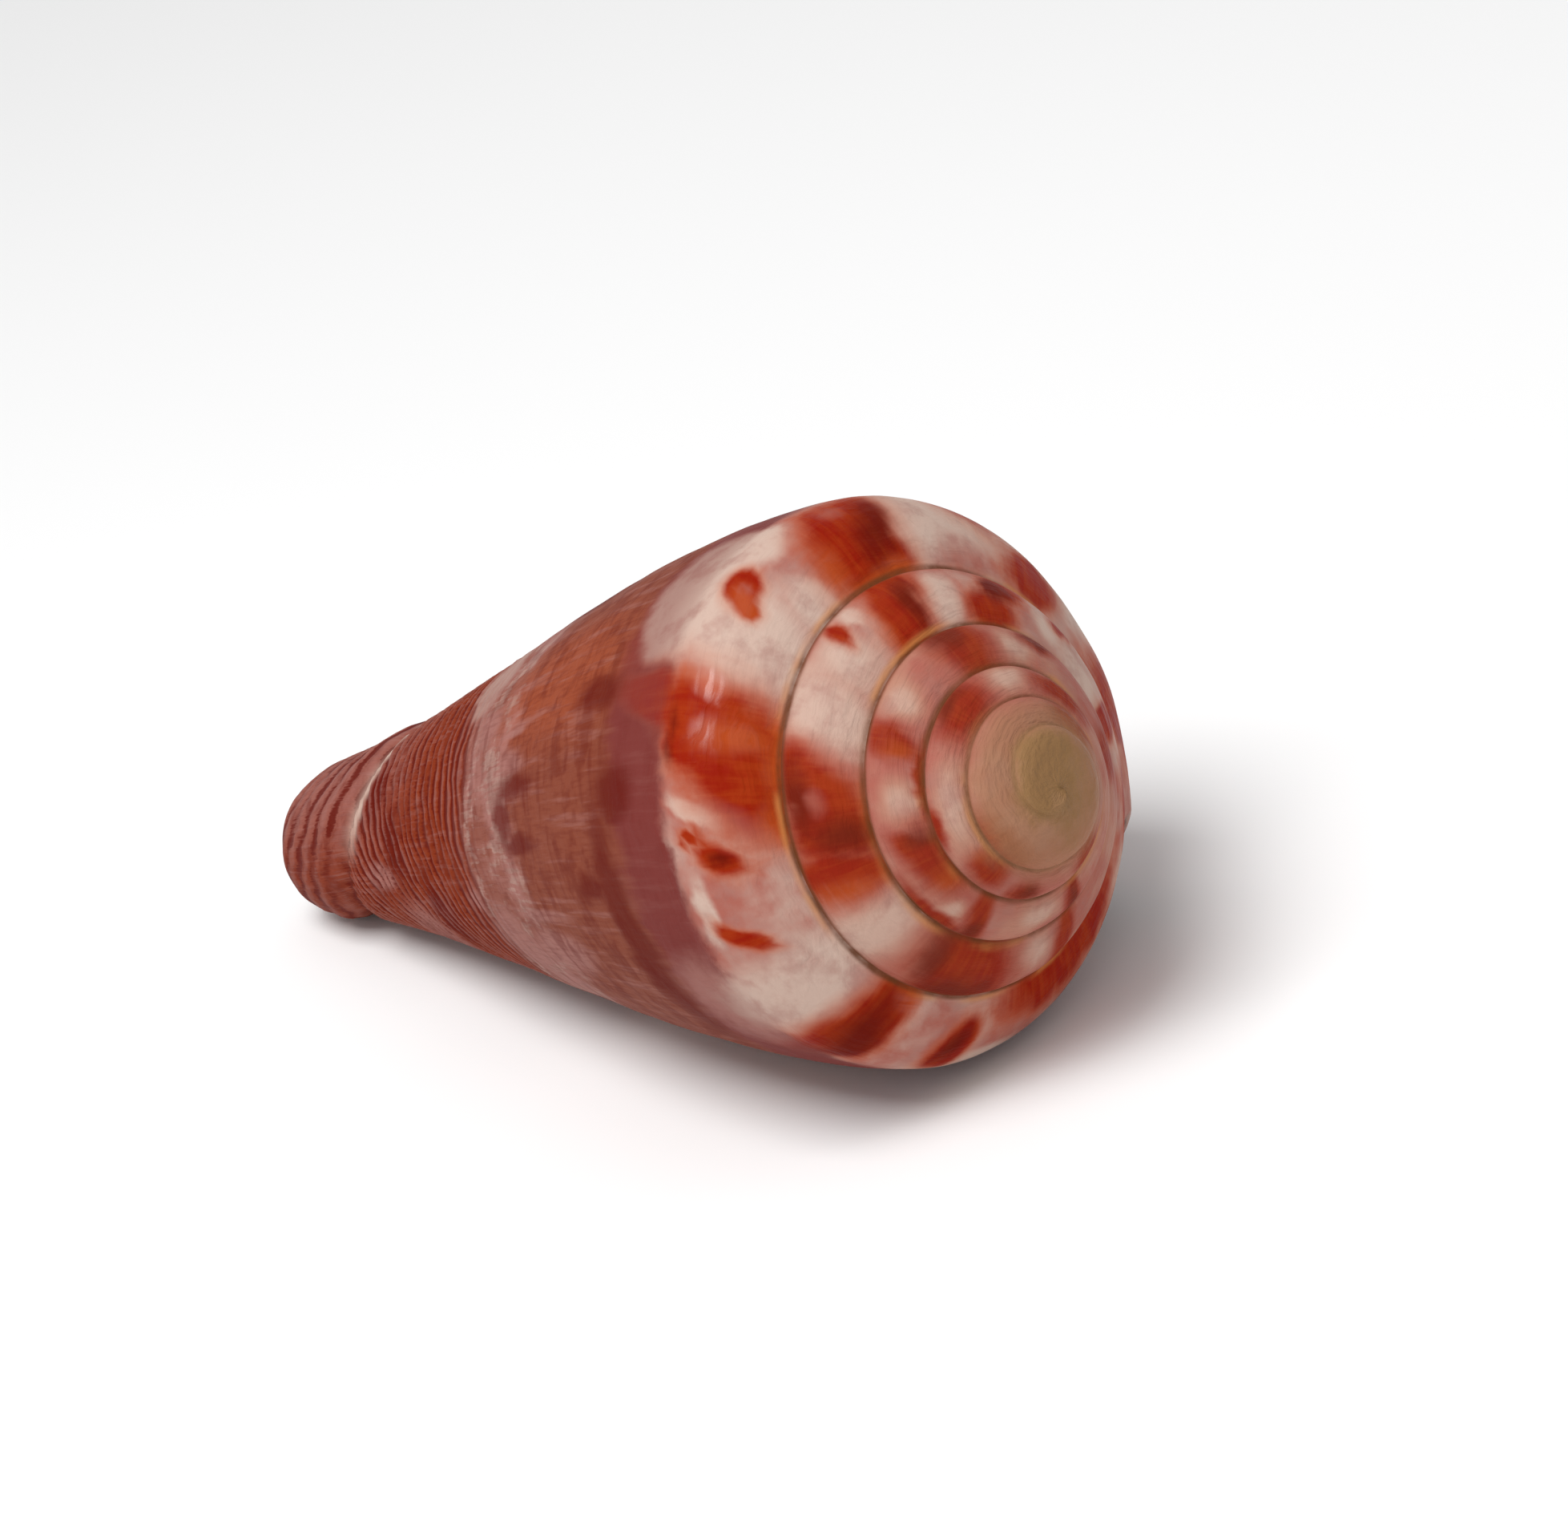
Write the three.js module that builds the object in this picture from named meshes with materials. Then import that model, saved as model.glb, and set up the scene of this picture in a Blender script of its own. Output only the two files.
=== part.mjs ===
// A cone shell that lies on its aperture side, in millimetres with +Z up.
// The shell frame has its origin at the sharp apex that the coil starts from,
// z along the coiling axis towards the anterior end, and the lip edge at turn 0.
// Older parts of the coil have negative turns, so -1 is one whorl before the lip.
import * as THREE from "three";
import * as BufferGeometryUtils from "three/addons/utils/BufferGeometryUtils.js";

// Driving dimensions of the coil
const SHOULDER_RADIUS = 13.2;
const SPIRE_DROP = 13.0;
const COIL_LENGTH = 51.7;
const WHORL_GROWTH = 1.362;
const DROP_POWER = 1.147;
const WHORLS = 6;
const LIP_ANGLE = THREE.MathUtils.degToRad(190.4);
const APEX_WEAR = 1.1;

// Driving shape of the body whorl, from shoulder (0) to anterior end (1)
const TIP_GROWTH = 2.5;
const TIP_WIDTH = 0.349;
const SIDE_BEND = 1.56;
const SIDE_HOLLOW = 1.48;
const NOSE_START = 0.945;

// Driving shape of the ramp between suture and shoulder
const RAMP_LEAN = THREE.MathUtils.degToRad(72);
const RAMP_ROUNDING = 0.34;

// Driving shape of the aperture
const CAVITY_TURNS = 0.3;
const CAVITY_SHARE = 0.76;
const ROOF_START = 0.045;
const NOTCH_TURNS = 0.2;
const NOTCH_START = 0.86;
const SINUS_TURNS = 0.012;

// How the shell lies: the angle round the axis that faces down, and the lift of the apex end
const DOWN_ANGLE = THREE.MathUtils.degToRad(245.03);
const APEX_LIFT = THREE.MathUtils.degToRad(12.02);
// Points this close to the ground are pressed flat, so that the shell doesn't rock
const REST_HEIGHT = 0.3;

// Mesh rows and columns
const COLUMNS = 40;
const RAMP_ROWS = 5;
const SIDE_ROWS = 20;
const CAVITY_COLUMNS = 11;

const TURN = 2 * Math.PI;

function smooth(t) {
  const x = Math.min(Math.max(t, 0), 1);
  return x * x * (3 - 2 * x);
}

// The shoulder curve, which is also the suture of the next whorl
function shoulder(turn) {
  const grown = THREE.MathUtils.clamp(turn + WHORLS, 0, 1);
  const start = grown * (2 - grown);
  const drop = SPIRE_DROP * WHORL_GROWTH ** (DROP_POWER * turn) * start;
  return {
    r: SHOULDER_RADIUS * WHORL_GROWTH ** turn * start,
    z: Math.cbrt(drop ** 3 + APEX_WEAR ** 3),
  };
}

function sideProfile(v) {
  const taper = TIP_WIDTH + (1 - TIP_WIDTH) * (1 - v ** SIDE_BEND) ** SIDE_HOLLOW;
  const nose = Math.max(0, (v - NOSE_START) / (1 - NOSE_START));
  return taper * Math.sqrt(Math.max(0, 1 - nose * nose));
}

function side(turn, v) {
  const growth = WHORL_GROWTH + (TIP_GROWTH - WHORL_GROWTH) * v * v;
  const top = shoulder(turn).z;
  return {
    r: SHOULDER_RADIUS * growth ** turn * sideProfile(v),
    z: top + (COIL_LENGTH - top) * v,
  };
}

// A cubic curve from the suture (w = 0) to the shoulder (w = 1)
function ramp(turn, w) {
  const inner = shoulder(turn - 1);
  const outer = shoulder(turn);
  const pull = RAMP_ROUNDING * Math.hypot(outer.r - inner.r, outer.z - inner.z);
  const u = 1 - w;
  const weights = [u ** 3, 3 * u * u * w, 3 * u * w * w, w ** 3];
  const radii = [inner.r, inner.r + pull * Math.sin(RAMP_LEAN), outer.r, outer.r];
  const drops = [inner.z, inner.z + pull * Math.cos(RAMP_LEAN), outer.z - pull, outer.z];
  const mix = (values) => values.reduce((sum, value, i) => sum + value * weights[i], 0);
  return { r: mix(radii), z: mix(drops) };
}

// Rows close up towards the nose, and the second row is the roof of the aperture
function sideRow(k) {
  if (k === 0) return 0;
  if (k === 1) return ROOF_START;
  const t = (k - 1) / (SIDE_ROWS - 1);
  const even = ROOF_START + (1 - ROOF_START) * t;
  return even + 0.35 * (1 - even) * t * t;
}

function toPoint({ r, z }, turn) {
  const angle = LIP_ANGLE + TURN * turn;
  return new THREE.Vector3(r * Math.cos(angle), r * Math.sin(angle), z);
}

// How far the lip edge stands back from turn 0 at a row of the last whorl
function lipRecess(row) {
  if (row <= RAMP_ROWS) return SINUS_TURNS * Math.sin(Math.PI * row / RAMP_ROWS) ** 2;
  const v = sideRow(row - RAMP_ROWS);
  return NOTCH_TURNS * smooth((v - NOTCH_START) / (1 - NOTCH_START));
}

// Rows 0 to RAMP_ROWS climb the last ramp, and the rest go down the side
function lastWhorl(turn, row) {
  if (row <= RAMP_ROWS) return toPoint(ramp(turn, row / RAMP_ROWS), turn);
  return toPoint(side(turn, sideRow(row - RAMP_ROWS)), turn);
}

// The surface of the whorl before, which faces the cavity of the last whorl
function olderWhorl(turn, row) {
  const v = sideRow(Math.max(row - RAMP_ROWS, 1));
  return toPoint(side(turn - 1, v), turn);
}

function cavityFace(turn, row) {
  const share = CAVITY_SHARE * smooth(1.4 * row / RAMP_ROWS);
  return olderWhorl(turn, row).lerp(lastWhorl(turn, row), share);
}

// Two triangles for each cell of a grid of points
function sheet(columnCount, rowCount, pointAt) {
  const positions = [];
  for (let i = 0; i < columnCount; i += 1) {
    for (let j = 0; j < rowCount; j += 1) {
      const a = pointAt(i, j);
      const b = pointAt(i + 1, j);
      const c = pointAt(i + 1, j + 1);
      const d = pointAt(i, j + 1);
      positions.push(...a, ...b, ...c, ...a, ...c, ...d);
    }
  }
  const geometry = new THREE.BufferGeometry();
  geometry.setAttribute("position", new THREE.Float32BufferAttribute(positions, 3));
  return geometry;
}

function spireSheet() {
  return sheet(COLUMNS, RAMP_ROWS * (WHORLS - 1), (i, j) => {
    const whorl = WHORLS - 1 - Math.floor(j / RAMP_ROWS);
    const turn = i / COLUMNS - 1 - whorl;
    return toPoint(ramp(turn, (j % RAMP_ROWS) / RAMP_ROWS), turn);
  });
}

function bodySheet() {
  return sheet(COLUMNS, RAMP_ROWS + SIDE_ROWS, (i, j) => {
    const part = i / COLUMNS;
    return lastWhorl(part - 1 - part * lipRecess(j), j);
  });
}

// From the lip edge in along the inside of the lip, and out again over the older whorl
function apertureSheet() {
  return sheet(2 * CAVITY_COLUMNS + 2, RAMP_ROWS + SIDE_ROWS, (i, j) => {
    const edge = -lipRecess(j);
    if (i === 0) return lastWhorl(edge, j);
    if (i <= CAVITY_COLUMNS + 1) {
      return cavityFace(edge - CAVITY_TURNS * (i - 1) / CAVITY_COLUMNS, j);
    }
    const back = (i - CAVITY_COLUMNS - 2) / CAVITY_COLUMNS;
    const deepest = -lipRecess(Math.max(j, RAMP_ROWS)) - CAVITY_TURNS;
    return olderWhorl(deepest * (1 - back), j);
  });
}

// Joined sheets with equal corners merged and flat slivers left out
function closeUp(sheets) {
  const soup = BufferGeometryUtils.mergeGeometries(sheets);
  const merged = BufferGeometryUtils.mergeVertices(soup, 1e-3);
  const index = merged.getIndex().array;
  const kept = [];
  for (let i = 0; i < index.length; i += 3) {
    const [a, b, c] = [index[i], index[i + 1], index[i + 2]];
    if (a !== b && b !== c && c !== a) kept.push(a, b, c);
  }
  merged.setIndex(kept);
  merged.computeVertexNormals();
  return merged;
}

// The axis goes from the raised apex at +X down to the anterior end at -X
function layDown(geometry) {
  const downTurned = new THREE.Matrix4().makeRotationZ(Math.PI - DOWN_ANGLE);
  const onItsSide = new THREE.Matrix4().makeRotationY(-Math.PI / 2 - APEX_LIFT);
  geometry.applyMatrix4(downTurned).applyMatrix4(onItsSide);
  geometry.computeBoundingBox();
  const box = geometry.boundingBox;
  const middle = box.getCenter(new THREE.Vector3());
  geometry.translate(-middle.x, -middle.y, -box.min.z);
  const places = geometry.getAttribute("position");
  for (let i = 0; i < places.count; i += 1) {
    if (places.getZ(i) < REST_HEIGHT) {
      places.setZ(i, 0);
    }
  }
  return geometry;
}

function makeShell() {
  const geometry = layDown(closeUp([spireSheet(), bodySheet(), apertureSheet()]));
  const porcelain = new THREE.MeshStandardMaterial({
    color: new THREE.Color(0.55, 0.27, 0.19),
    roughness: 0.35,
    metalness: 0,
    side: THREE.DoubleSide,
  });
  const mesh = new THREE.Mesh(geometry, porcelain);
  mesh.name = "shell";
  return mesh;
}

const coneShell = new THREE.Group();
coneShell.add(makeShell());

export default coneShell;
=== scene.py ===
"""A cone shell that lies on its aperture side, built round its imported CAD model.

Lengths are in metres. The shell frame has its origin at the sharp apex that the coil starts from,
z along the coiling axis towards the anterior end, and turn 0 at the lip edge. Older parts of the
coil have negative turns, so -1 is one whorl before the lip.
"""
import math

import bpy
from mathutils import Matrix, Vector


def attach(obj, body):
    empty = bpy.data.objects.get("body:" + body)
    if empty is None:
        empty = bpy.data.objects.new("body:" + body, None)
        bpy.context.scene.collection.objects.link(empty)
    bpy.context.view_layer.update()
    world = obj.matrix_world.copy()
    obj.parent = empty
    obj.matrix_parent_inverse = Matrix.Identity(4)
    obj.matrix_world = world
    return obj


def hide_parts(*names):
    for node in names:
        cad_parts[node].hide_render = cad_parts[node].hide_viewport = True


bl_info = {
    "name": "Cone Shell",
    "version": (1, 0, 0),
    "blender": (4, 5, 0),
    "location": "View3D > Sidebar > Cone Shell",
    "description": "Builds a coiled cone shell with its blotched glaze, and a plain stage for it",
    "category": "Add Mesh",
}

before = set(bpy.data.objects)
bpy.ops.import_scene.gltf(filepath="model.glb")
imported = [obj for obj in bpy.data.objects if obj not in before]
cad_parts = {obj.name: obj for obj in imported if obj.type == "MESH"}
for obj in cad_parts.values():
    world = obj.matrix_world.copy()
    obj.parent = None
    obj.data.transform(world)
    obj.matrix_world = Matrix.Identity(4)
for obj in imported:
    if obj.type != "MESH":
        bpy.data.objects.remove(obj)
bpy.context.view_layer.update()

TURN = 2 * math.pi

# How the CAD model lies: the side that faces down, the slope of the axis and the apex's place
DOWN_ANGLE = math.radians(245.03)
APEX_LIFT = math.radians(12.02)
APEX_PLACE = Vector((0.025726, -0.000916, 0.012676))

# The photograph's view: 1957 x 1904 pixels, from the spire end
PHOTO_WIDTH = 1957
PHOTO_HEIGHT = 1904
APEX_PIXEL_X = 1347.3
APEX_PIXEL_Y = 979.9
FOCAL_PIXELS = 7000
SENSOR_WIDTH = 0.036


class ShellForm(bpy.types.PropertyGroup):
    """Sizes that the coil is worked out from."""

    shoulder_radius: bpy.props.FloatProperty(
        name="Shoulder Radius", description="Axis to shoulder at the lip", default=0.0132, unit="LENGTH")
    spire_drop: bpy.props.FloatProperty(
        name="Spire Drop", description="Sharp apex down to the shoulder at the lip",
        default=0.0130, unit="LENGTH")
    coil_length: bpy.props.FloatProperty(
        name="Coil Length", description="Sharp apex to anterior end", default=0.0517, unit="LENGTH")
    apex_wear: bpy.props.FloatProperty(
        name="Apex Wear", description="Height that the apex has lost", default=0.0011, unit="LENGTH")
    whorl_growth: bpy.props.FloatProperty(
        name="Whorl Growth", description="Widening for each turn", default=1.362)
    drop_power: bpy.props.FloatProperty(
        name="Drop Power", description="How much faster the coil drops than it widens", default=1.147)
    lip_angle: bpy.props.FloatProperty(
        name="Lip Angle", description="Where the lip edge is round the axis",
        default=math.radians(190.4), unit="ROTATION")
    tip_growth: bpy.props.FloatProperty(
        name="Tip Growth", description="Widening for each turn at the anterior end", default=2.5)
    tip_width: bpy.props.FloatProperty(
        name="Tip Width", description="Anterior end as a share of the shoulder", default=0.349)
    side_bend: bpy.props.FloatProperty(
        name="Side Bend", description="How late the side leaves the shoulder", default=1.56)
    side_hollow: bpy.props.FloatProperty(
        name="Side Hollow", description="How hollow the side is near the anterior end", default=1.48)
    nose_start: bpy.props.FloatProperty(
        name="Nose Start", description="Where the rounding of the anterior end starts", default=0.945)
    ramp_lean: bpy.props.FloatProperty(
        name="Ramp Lean", description="Slope of the ramp at the suture, from the axis",
        default=math.radians(72), unit="ROTATION")
    ramp_rounding: bpy.props.FloatProperty(
        name="Ramp Rounding", description="Reach of the ramp's two bends", default=0.34)
    cavity_turns: bpy.props.FloatProperty(
        name="Cavity Turns", description="How far the aperture goes in", default=0.3)
    cavity_share: bpy.props.FloatProperty(
        name="Cavity Share", description="Hollow part of the last whorl's thickness", default=0.76)
    edge_share: bpy.props.FloatProperty(
        name="Edge Share", description="The same, at the thin lip edge", default=0.86)
    roof_start: bpy.props.FloatProperty(
        name="Roof Start", description="Where the aperture starts below the suture", default=0.045)
    notch_turns: bpy.props.FloatProperty(
        name="Notch Turns", description="Depth of the notch at the anterior end", default=0.2)
    notch_start: bpy.props.FloatProperty(
        name="Notch Start", description="Where that notch starts along the side", default=0.86)
    sinus_turns: bpy.props.FloatProperty(
        name="Sinus Turns", description="Depth of the shallow notch in the ramp", default=0.012)
    ridge_pitch: bpy.props.FloatProperty(
        name="Ridge Pitch", description="Spacing of the spiral ridges at the lip",
        default=0.00082, unit="LENGTH")
    ridge_height: bpy.props.FloatProperty(
        name="Ridge Height", description="Half height of the spiral ridges", default=0.00004, unit="LENGTH")


class ShellColours(bpy.types.PropertyGroup):
    """Colours of the glaze, as linear values."""

    cream: bpy.props.FloatVectorProperty(
        name="Cream", description="Pale patches", subtype="COLOR", default=(0.56, 0.40, 0.33))
    blush: bpy.props.FloatVectorProperty(
        name="Blush", description="Pale patches of the older whorls", subtype="COLOR",
        default=(0.46, 0.235, 0.165))
    pink: bpy.props.FloatVectorProperty(
        name="Pink", description="Ground between the patches", subtype="COLOR", default=(0.38, 0.12, 0.09))
    red: bpy.props.FloatVectorProperty(
        name="Red", description="Red-brown patches", subtype="COLOR", default=(0.27, 0.010, 0.002))
    orange: bpy.props.FloatVectorProperty(
        name="Orange", description="Lighter parts of the red patches", subtype="COLOR",
        default=(0.46, 0.075, 0.010))
    gold: bpy.props.FloatVectorProperty(
        name="Gold", description="Rim of the suture", subtype="COLOR", default=(0.50, 0.20, 0.060))
    mauve: bpy.props.FloatVectorProperty(
        name="Mauve", description="Smooth band under the shoulder", subtype="COLOR",
        default=(0.18, 0.034, 0.029))
    brown: bpy.props.FloatVectorProperty(
        name="Brown", description="Middle of the side", subtype="COLOR", default=(0.22, 0.053, 0.028))
    lavender: bpy.props.FloatVectorProperty(
        name="Lavender", description="Pale band round the side", subtype="COLOR",
        default=(0.34, 0.145, 0.122))
    rust: bpy.props.FloatVectorProperty(
        name="Rust", description="Ridged anterior third", subtype="COLOR", default=(0.225, 0.033, 0.010))
    # Dark is the spots' own colour, and in the ridged part it is also the painted shade of the grooves
    dark: bpy.props.FloatVectorProperty(
        name="Dark", description="Spots and grooves", subtype="COLOR", default=(0.115, 0.006, 0.002))
    seam: bpy.props.FloatVectorProperty(
        name="Seam", description="Line of the suture", subtype="COLOR", default=(0.12, 0.038, 0.012))
    tan: bpy.props.FloatVectorProperty(
        name="Tan", description="Oldest whorls", subtype="COLOR", default=(0.33, 0.185, 0.095))
    olive: bpy.props.FloatVectorProperty(
        name="Olive", description="Worn apex", subtype="COLOR", default=(0.27, 0.150, 0.062))
    lining: bpy.props.FloatVectorProperty(
        name="Lining", description="Inside of the aperture", subtype="COLOR", default=(0.52, 0.38, 0.33))


class StageSettings(bpy.types.PropertyGroup):
    """The floor, the lights and the view."""

    floor_colour: bpy.props.FloatVectorProperty(
        name="Floor", description="Colour of the floor", subtype="COLOR", default=(0.92, 0.92, 0.92))
    sky: bpy.props.FloatProperty(
        name="Surroundings", description="Brightness of the plain surroundings", default=0.52)
    key_power: bpy.props.FloatProperty(
        name="Key Light", description="Power of the large lamp", default=1.22, unit="POWER")
    camera_distance: bpy.props.FloatProperty(
        name="Camera Distance", description="Camera to apex along the view", default=0.2113, unit="LENGTH")
    axis_turn: bpy.props.FloatProperty(
        name="Axis Turn", description="Line of sight to coiling axis",
        default=math.radians(38.49), unit="ROTATION")
    axis_slope: bpy.props.FloatProperty(
        name="Axis Slope", description="Slope of the axis in the picture",
        default=math.radians(6.04), unit="ROTATION")


# Numbers of rows and columns of the mesh
WHORLS = 6
COLUMNS = 184
RAMP_ROWS = 12
SIDE_ROWS = 350
EDGE_COLUMNS = 6
CAVITY_COLUMNS = 20
ROW_CROWDING = 0.45
MERGE_DISTANCE = 3e-7

# On the side, one unit across the growth is as long as the ramp is wide
SIDE_ACROSS = 7.4

# The fasciole is the groove before the anterior end. Its place and climb and the spacing of the ribs
# past it are shares of the side's length, the place at turn 0 and the climb for each turn.
FASCIOLE_START = 0.63
FASCIOLE_CLIMB = 0.33
RIB_SPACING = 0.034

# How far the rounded lip edge stands forward, in turns
LIP_ROUNDING = 0.0045

# Relief in metres, besides the ridges
SWELLING_HEIGHT = 0.00028
GROOVE_DEPTH = 0.00022
LUMP_HEIGHT = 0.00022
GLAZE_DEPTH = 0.00014

# How fine the surface's patterns are, for each metre and, for growth lines, for each turn
LUMPS = 190.0
MOTTLES = 650.0
CLOUDS = 300.0
PITS = 2200.0
GROWTH_LINES = 150
FINE_GROWTH_LINES = 330

# Where the side's bands blend, as shares of its length
MAUVE_END = (0.085, 0.125)
PALE_BAND_START = (0.315, 0.36)
PALE_BAND_END = (0.445, 0.475)
RUST_START = (0.445, 0.48)
RIDGES_START = (0.40, 0.50)

# Turns where the whorls change: older colours, then the tan ones and the worn apex
OLD_TURNS = (-0.9, -2.2)
TAN_TURNS = (-5.1, -4.1)
WORN_TURNS = (-5.8, -5.2)

# The stage, in metres. The lamp's place is right, up and towards the camera from the aim.
FLOOR_REACH = 3.0
AIM = Vector((0.0, 0.0, 0.012))
KEY_PLACE = Vector((-0.18, 0.22, 0.25))
KEY_SIZE = 0.22
NEAREST_SEEN = 0.01


class Term:
    """A node socket that adds a Math node when Python arithmetic uses it."""

    def __init__(self, graph, socket):
        self.graph = graph
        self.socket = socket

    def __add__(self, other):
        return self.graph.math("ADD", self, other)

    def __radd__(self, other):
        return self.graph.math("ADD", other, self)

    def __sub__(self, other):
        return self.graph.math("SUBTRACT", self, other)

    def __rsub__(self, other):
        return self.graph.math("SUBTRACT", other, self)

    def __mul__(self, other):
        return self.graph.math("MULTIPLY", self, other)

    def __rmul__(self, other):
        return self.graph.math("MULTIPLY", other, self)

    def __truediv__(self, other):
        return self.graph.math("DIVIDE", self, other)

    def __rtruediv__(self, other):
        return self.graph.math("DIVIDE", other, self)

    def __pow__(self, other):
        return self.graph.math("POWER", self, other)

    def __gt__(self, other):
        return self.graph.math("GREATER_THAN", self, other)

    def __lt__(self, other):
        return self.graph.math("LESS_THAN", self, other)


class Graph:
    """A node tree and the one method that adds nodes to it."""

    def __init__(self, tree):
        self.tree = tree

    def add(self, kind, settings=None, inputs=None, output=0):
        """Adds a node, sets it, then gives its sockets their values or links."""
        node = self.tree.nodes.new(kind)
        for name, value in (settings or {}).items():
            setattr(node, name, value)
        open_sockets = [socket for socket in node.inputs if socket.enabled]
        by_name = {socket.name: socket for socket in reversed(open_sockets)}
        pairs = inputs.items() if isinstance(inputs, dict) else enumerate(inputs or [])
        for key, value in pairs:
            socket = open_sockets[key] if isinstance(key, int) else by_name[key]
            if isinstance(value, Term):
                self.tree.links.new(value.socket, socket)
            else:
                socket.default_value = value
        if isinstance(output, int):
            shown = [socket for socket in node.outputs if socket.enabled]
            return Term(self, shown[output]) if shown else Term(self, None)
        return Term(self, node.outputs[output])

    def math(self, operation, *values):
        return self.add("ShaderNodeMath", {"operation": operation}, list(values))

    def clamp(self, value):
        return self.add("ShaderNodeClamp", None, {"Value": value})

    def smooth(self, value, low=0.0, high=1.0):
        """0 below low and 1 above high, with an even bend between."""
        settings = {"interpolation_type": "SMOOTHSTEP"}
        inputs = {"Value": value, "From Min": low, "From Max": high}
        return self.add("ShaderNodeMapRange", settings, inputs)

    def pick(self, test, yes, no):
        """yes where test is 1, no where it is 0."""
        return no + (yes - no) * test

    def point(self, x=0.0, y=0.0, z=0.0):
        return self.add("ShaderNodeCombineXYZ", None, [x, y, z])

    def parts(self, vector):
        node = self.add("ShaderNodeSeparateXYZ", None, [vector]).socket.node
        return [Term(self, socket) for socket in node.outputs]

    def noise(self, vector, scale, detail=2.0, roughness=0.5):
        inputs = {"Vector": vector, "Scale": scale, "Detail": detail, "Roughness": roughness}
        return self.add("ShaderNodeTexNoise", None, inputs)

    def mix(self, share, first, second):
        """first where share is 0, second where it is 1, as colours."""
        inputs = {"Factor": share, "A": first, "B": second}
        return self.add("ShaderNodeMix", {"data_type": "RGBA"}, inputs)


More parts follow.
